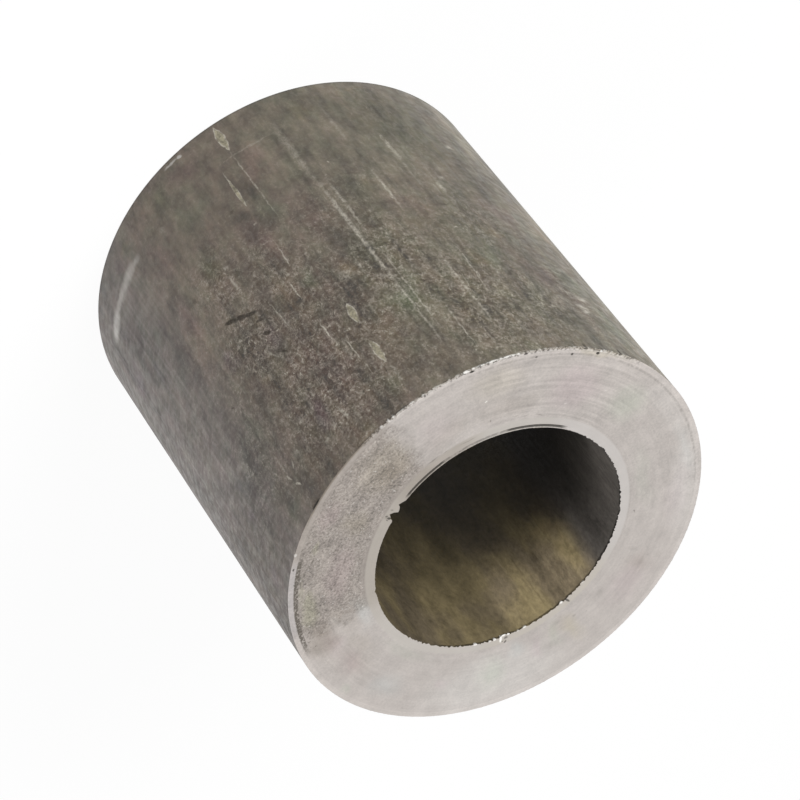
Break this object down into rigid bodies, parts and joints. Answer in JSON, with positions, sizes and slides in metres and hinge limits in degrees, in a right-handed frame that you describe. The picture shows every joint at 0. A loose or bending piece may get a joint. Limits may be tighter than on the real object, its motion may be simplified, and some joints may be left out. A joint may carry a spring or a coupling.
{
  "type": "spacer sleeve",
  "caption": "Plain cylindrical steel spacer sleeve: a cut length of thick-walled tube with faced ends, which keeps clamped parts apart on a bolt or shaft.",
  "frame": {"origin": "middle of the lower end, on the outside's axis", "axes": "+Z along the tube, from the lower end to the bright faced end"},
  "size_m": [0.035, 0.035, 0.038],
  "materials": {
    "steel": "satin"
  },
  "bodies": {
    "root": {"sleeve": "steel"}
  },
  "joints": []
}
